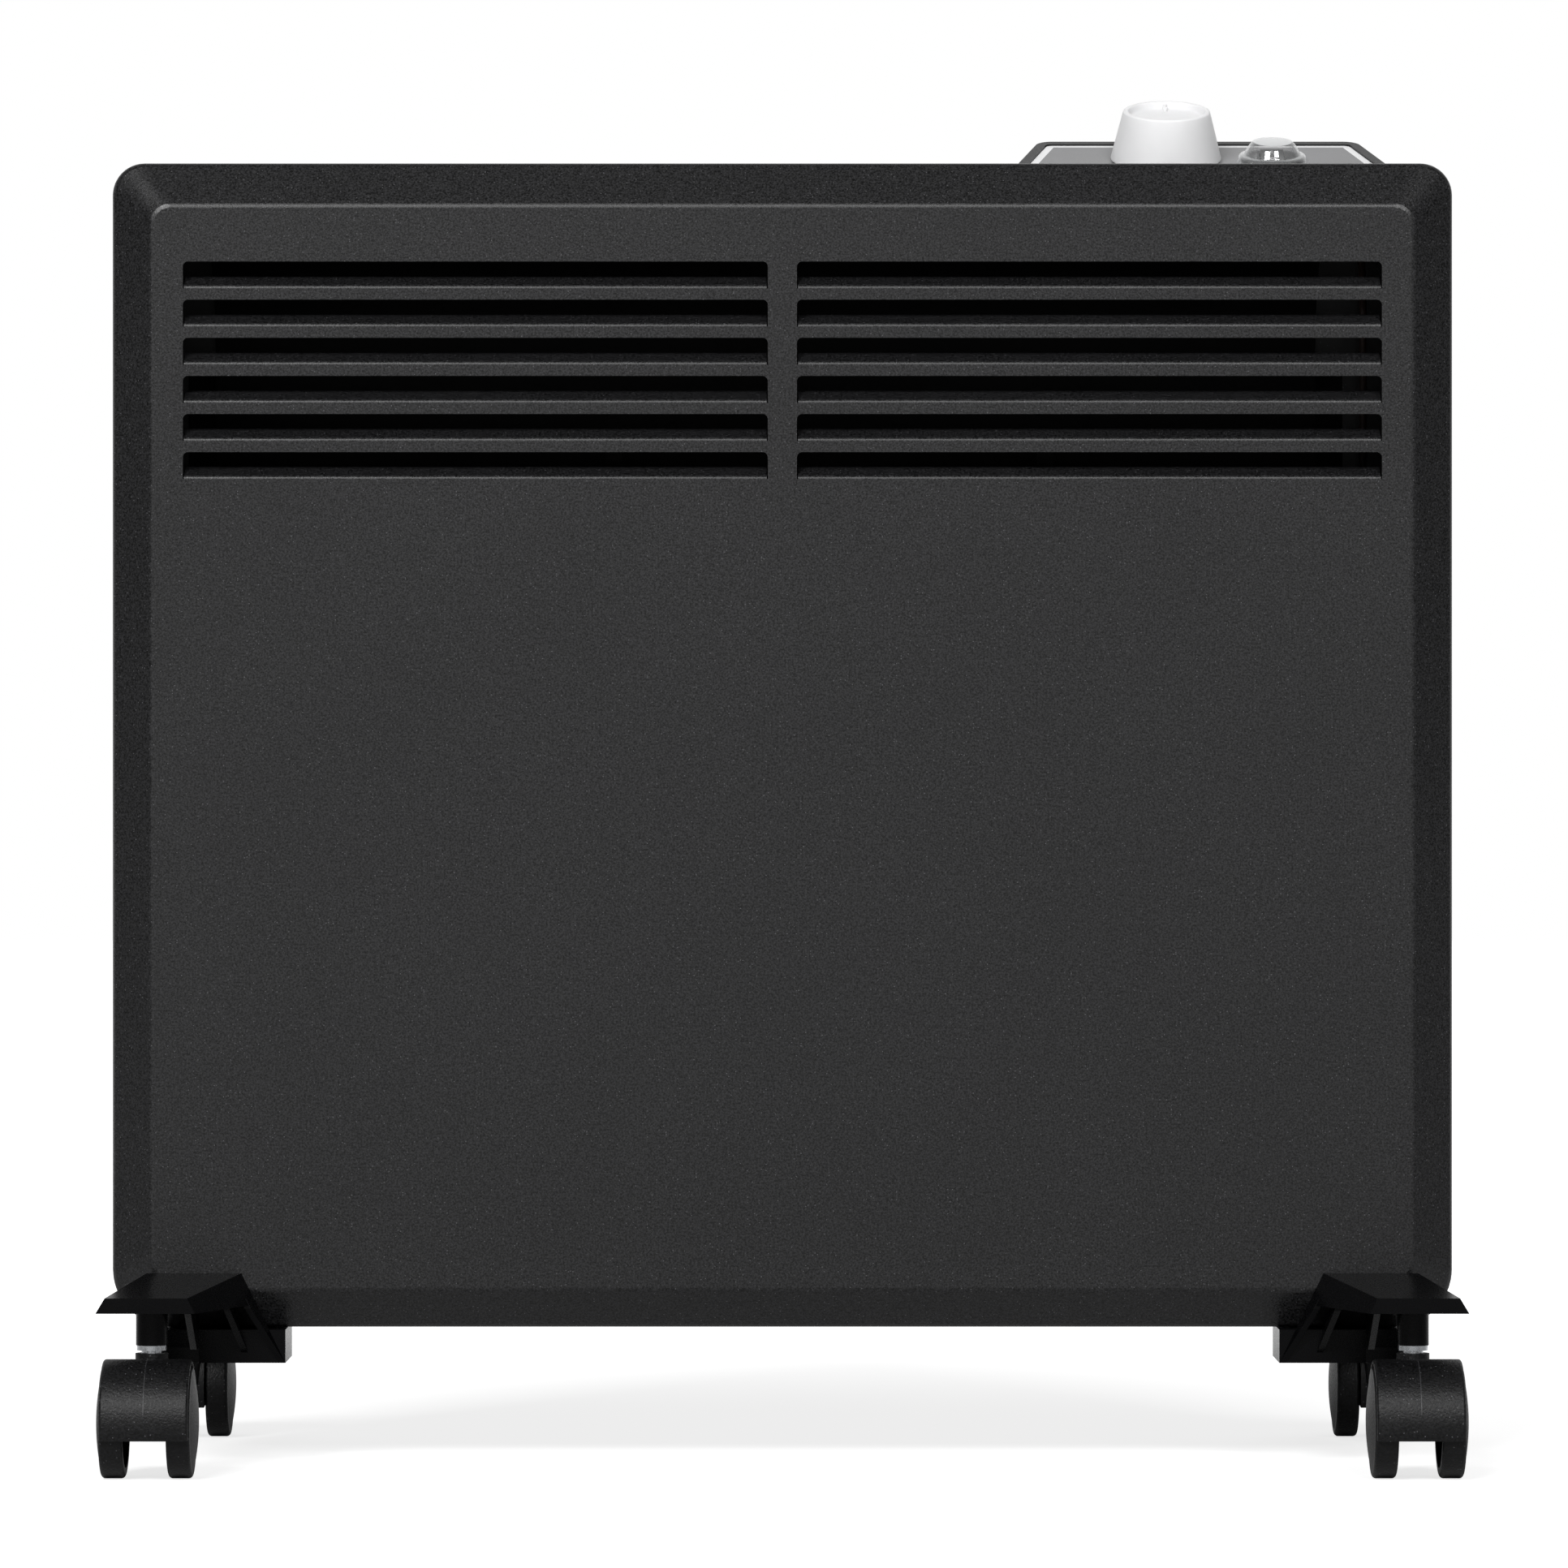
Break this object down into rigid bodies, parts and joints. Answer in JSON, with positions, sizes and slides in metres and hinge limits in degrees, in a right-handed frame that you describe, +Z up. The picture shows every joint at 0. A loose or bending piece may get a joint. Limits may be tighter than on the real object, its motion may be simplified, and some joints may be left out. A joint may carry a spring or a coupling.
{
  "type": "convector heater",
  "caption": "Upright electric convector heater: louvred steel casing on wheeled feet, with a sloping top control unit, a thermostat knob and a booted rocker switch.",
  "frame": {"origin": "on the floor under the middle of the heater", "axes": "+X to the right seen from the front, the front faces -Y, +Z up from the floor"},
  "size_m": [0.463, 0.2282, 0.4747],
  "materials": {
    "black_texture_paint": "fine-textured matt powder coat",
    "black_smooth_paint": "matt powder coat",
    "zinc_steel": "zinc plated",
    "black_heat_paint": "heat-proof matt paint",
    "element_aluminium": "extruded",
    "element_ceramic": "unglazed",
    "phenolic": "moulded",
    "white_plastic": "moulded",
    "brass": "turned",
    "black_plastic": "moulded, satin",
    "caster_plastic": "moulded, half gloss",
    "grey_plate": "satin",
    "pale_knob": "moulded, satin",
    "clear_boot": "clear, glossy",
    "brown_lead": "silicone insulation",
    "blue_lead": "silicone insulation",
    "green_lead": "silicone insulation"
  },
  "bodies": {
    "casing": {"front_panel": "black_texture_paint", "rear_casing": "black_smooth_paint", "casing_screws": "zinc_steel", "rear_screws": "zinc_steel", "foot_screws": "zinc_steel", "control_screws": "zinc_steel", "heat_shield": "black_heat_paint", "element_fins": "element_aluminium", "element_rod": "zinc_steel", "element_insulator_left": "element_ceramic", "element_terminal_left": "zinc_steel", "element_bracket_left": "zinc_steel", "element_insulator_right": "element_ceramic", "element_terminal_right": "zinc_steel", "element_bracket_right": "zinc_steel", "thermal_cutout": "phenolic", "tip_switch_housing": "white_plastic", "terminal_block": "white_plastic", "earth_screw": "brass", "cable_gland": "black_plastic", "control_housing": "black_plastic", "control_plate": "grey_plate", "thermostat_body": "phenolic", "thermostat_nut": "zinc_steel", "switch_body": "black_plastic", "switch_boot": "clear_boot", "foot_right": "black_plastic", "foot_left": "black_plastic", "caster_stem_front_left": "zinc_steel", "caster_stem_front_right": "zinc_steel", "caster_stem_rear_left": "zinc_steel", "caster_stem_rear_right": "zinc_steel", "lead_live": "brown_lead", "lead_switched": "brown_lead", "lead_heater": "brown_lead", "lead_element": "brown_lead", "lead_neutral": "blue_lead", "lead_earth": "green_lead"},
    "knob": {"thermostat_knob": "pale_knob", "thermostat_spindle": "zinc_steel"},
    "rocker": {"switch_rocker": "caster_plastic"},
    "pendulum": {"tip_switch_pendulum": "brass"},
    "caster_front_left": {"caster_hood_front_left": "caster_plastic", "caster_axle_front_left": "zinc_steel"},
    "wheel_front_left_left": {"caster_wheel_front_left_left": "caster_plastic"},
    "wheel_front_left_right": {"caster_wheel_front_left_right": "caster_plastic"},
    "caster_front_right": {"caster_hood_front_right": "caster_plastic", "caster_axle_front_right": "zinc_steel"},
    "wheel_front_right_left": {"caster_wheel_front_right_left": "caster_plastic"},
    "wheel_front_right_right": {"caster_wheel_front_right_right": "caster_plastic"},
    "caster_rear_left": {"caster_hood_rear_left": "caster_plastic", "caster_axle_rear_left": "zinc_steel"},
    "wheel_rear_left_left": {"caster_wheel_rear_left_left": "caster_plastic"},
    "wheel_rear_left_right": {"caster_wheel_rear_left_right": "caster_plastic"},
    "caster_rear_right": {"caster_hood_rear_right": "caster_plastic", "caster_axle_rear_right": "zinc_steel"},
    "wheel_rear_right_left": {"caster_wheel_rear_right_left": "caster_plastic"},
    "wheel_rear_right_right": {"caster_wheel_rear_right_right": "caster_plastic"}
  },
  "joints": [
    {"name": "knob_turn", "type": "hinge", "parent": "casing", "child": "knob", "pos_m": [0.1344, 0.01503, 0.45291], "axis": [0, -0.314, 0.9494], "range_deg": [-135, 135]},
    {"name": "rocker_tilt", "type": "hinge", "parent": "casing", "child": "rocker", "pos_m": [0.1717, 0.01503, 0.45291], "axis": [-1, 0, 0], "range_deg": [0, 16]},
    {"name": "pendulum_swing", "type": "hinge", "parent": "casing", "child": "pendulum", "pos_m": [-0.13, 0.0257, 0.0984], "axis": [1, 0, 0], "range_deg": [-25, 25]},
    {"name": "swivel_front_left", "type": "hinge", "parent": "casing", "child": "caster_front_left", "pos_m": [-0.214, -0.075, 0.041], "axis": [0, 0, 1], "continuous": true},
    {"name": "roll_front_left_left", "type": "hinge", "parent": "caster_front_left", "child": "wheel_front_left_left", "pos_m": [-0.214, -0.093, 0.019], "axis": [1, 0, 0], "continuous": true},
    {"name": "roll_front_left_right", "type": "hinge", "parent": "caster_front_left", "child": "wheel_front_left_right", "pos_m": [-0.214, -0.093, 0.019], "axis": [1, 0, 0], "continuous": true},
    {"name": "swivel_front_right", "type": "hinge", "parent": "casing", "child": "caster_front_right", "pos_m": [0.214, -0.075, 0.041], "axis": [0, 0, 1], "continuous": true},
    {"name": "roll_front_right_left", "type": "hinge", "parent": "caster_front_right", "child": "wheel_front_right_left", "pos_m": [0.214, -0.093, 0.019], "axis": [1, 0, 0], "continuous": true},
    {"name": "roll_front_right_right", "type": "hinge", "parent": "caster_front_right", "child": "wheel_front_right_right", "pos_m": [0.214, -0.093, 0.019], "axis": [1, 0, 0], "continuous": true},
    {"name": "swivel_rear_left", "type": "hinge", "parent": "casing", "child": "caster_rear_left", "pos_m": [-0.214, 0.075, 0.041], "axis": [0, 0, 1], "continuous": true},
    {"name": "roll_rear_left_left", "type": "hinge", "parent": "caster_rear_left", "child": "wheel_rear_left_left", "pos_m": [-0.214, 0.093, 0.019], "axis": [1, 0, 0], "continuous": true},
    {"name": "roll_rear_left_right", "type": "hinge", "parent": "caster_rear_left", "child": "wheel_rear_left_right", "pos_m": [-0.214, 0.093, 0.019], "axis": [1, 0, 0], "continuous": true},
    {"name": "swivel_rear_right", "type": "hinge", "parent": "casing", "child": "caster_rear_right", "pos_m": [0.214, 0.075, 0.041], "axis": [0, 0, 1], "continuous": true},
    {"name": "roll_rear_right_left", "type": "hinge", "parent": "caster_rear_right", "child": "wheel_rear_right_left", "pos_m": [0.214, 0.093, 0.019], "axis": [1, 0, 0], "continuous": true},
    {"name": "roll_rear_right_right", "type": "hinge", "parent": "caster_rear_right", "child": "wheel_rear_right_right", "pos_m": [0.214, 0.093, 0.019], "axis": [1, 0, 0], "continuous": true}
  ]
}
